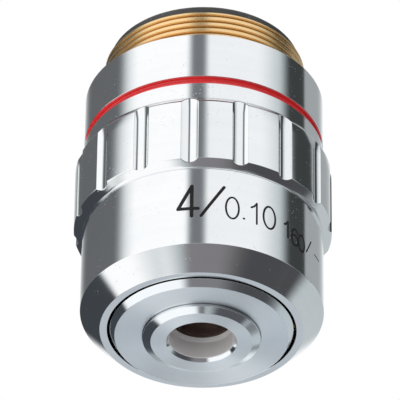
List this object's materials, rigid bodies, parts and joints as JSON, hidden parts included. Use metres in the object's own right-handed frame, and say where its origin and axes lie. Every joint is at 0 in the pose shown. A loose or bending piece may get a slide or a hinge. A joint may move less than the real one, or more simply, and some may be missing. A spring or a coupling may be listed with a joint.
{
  "type": "microscope objective",
  "caption": "Low-power microscope objective: a fluted metal barrel with a standard mounting thread, which holds lenses that image a specimen set below its nose.",
  "frame": {"origin": "centre of the mounting thread in the plane of the shoulder that seats against the nosepiece", "axes": "+Z along the optical axis from the nose towards the mounting thread; the part stands on the flat boss of its nose"},
  "size_m": [0.0256, 0.0256, 0.0341],
  "materials": {
    "bare_brass": "turned bare brass",
    "polished_chrome": "bright chrome plate over turned brass",
    "satin_chrome": "satin faces with bright turned chamfers",
    "red_enamel": "glossy enamel filled into a groove",
    "black_anodised": "matt black anodised",
    "optical_glass": "polished and coated glass with ground edges"
  },
  "bodies": {
    "root": {"thread_barrel": "bare_brass", "rear_stop_ring": "black_anodised", "shoulder_collar": "polished_chrome", "colour_ring": "red_enamel", "grip_ring": "polished_chrome", "nose_sleeve": "polished_chrome", "front_cell": "satin_chrome", "front_lens": "optical_glass", "front_lens_retainer": "black_anodised", "lens_barrel": "black_anodised", "parfocal_shim": "bare_brass", "parfocal_lock_ring": "black_anodised", "middle_cell": "black_anodised", "middle_crown_lens": "optical_glass", "middle_flint_lens": "optical_glass", "middle_retainer": "black_anodised", "long_spacer": "black_anodised", "aperture_stop": "black_anodised", "rear_cell": "black_anodised", "rear_crown_lens": "optical_glass", "rear_flint_lens": "optical_glass", "rear_retainer": "black_anodised"}
  },
  "joints": []
}
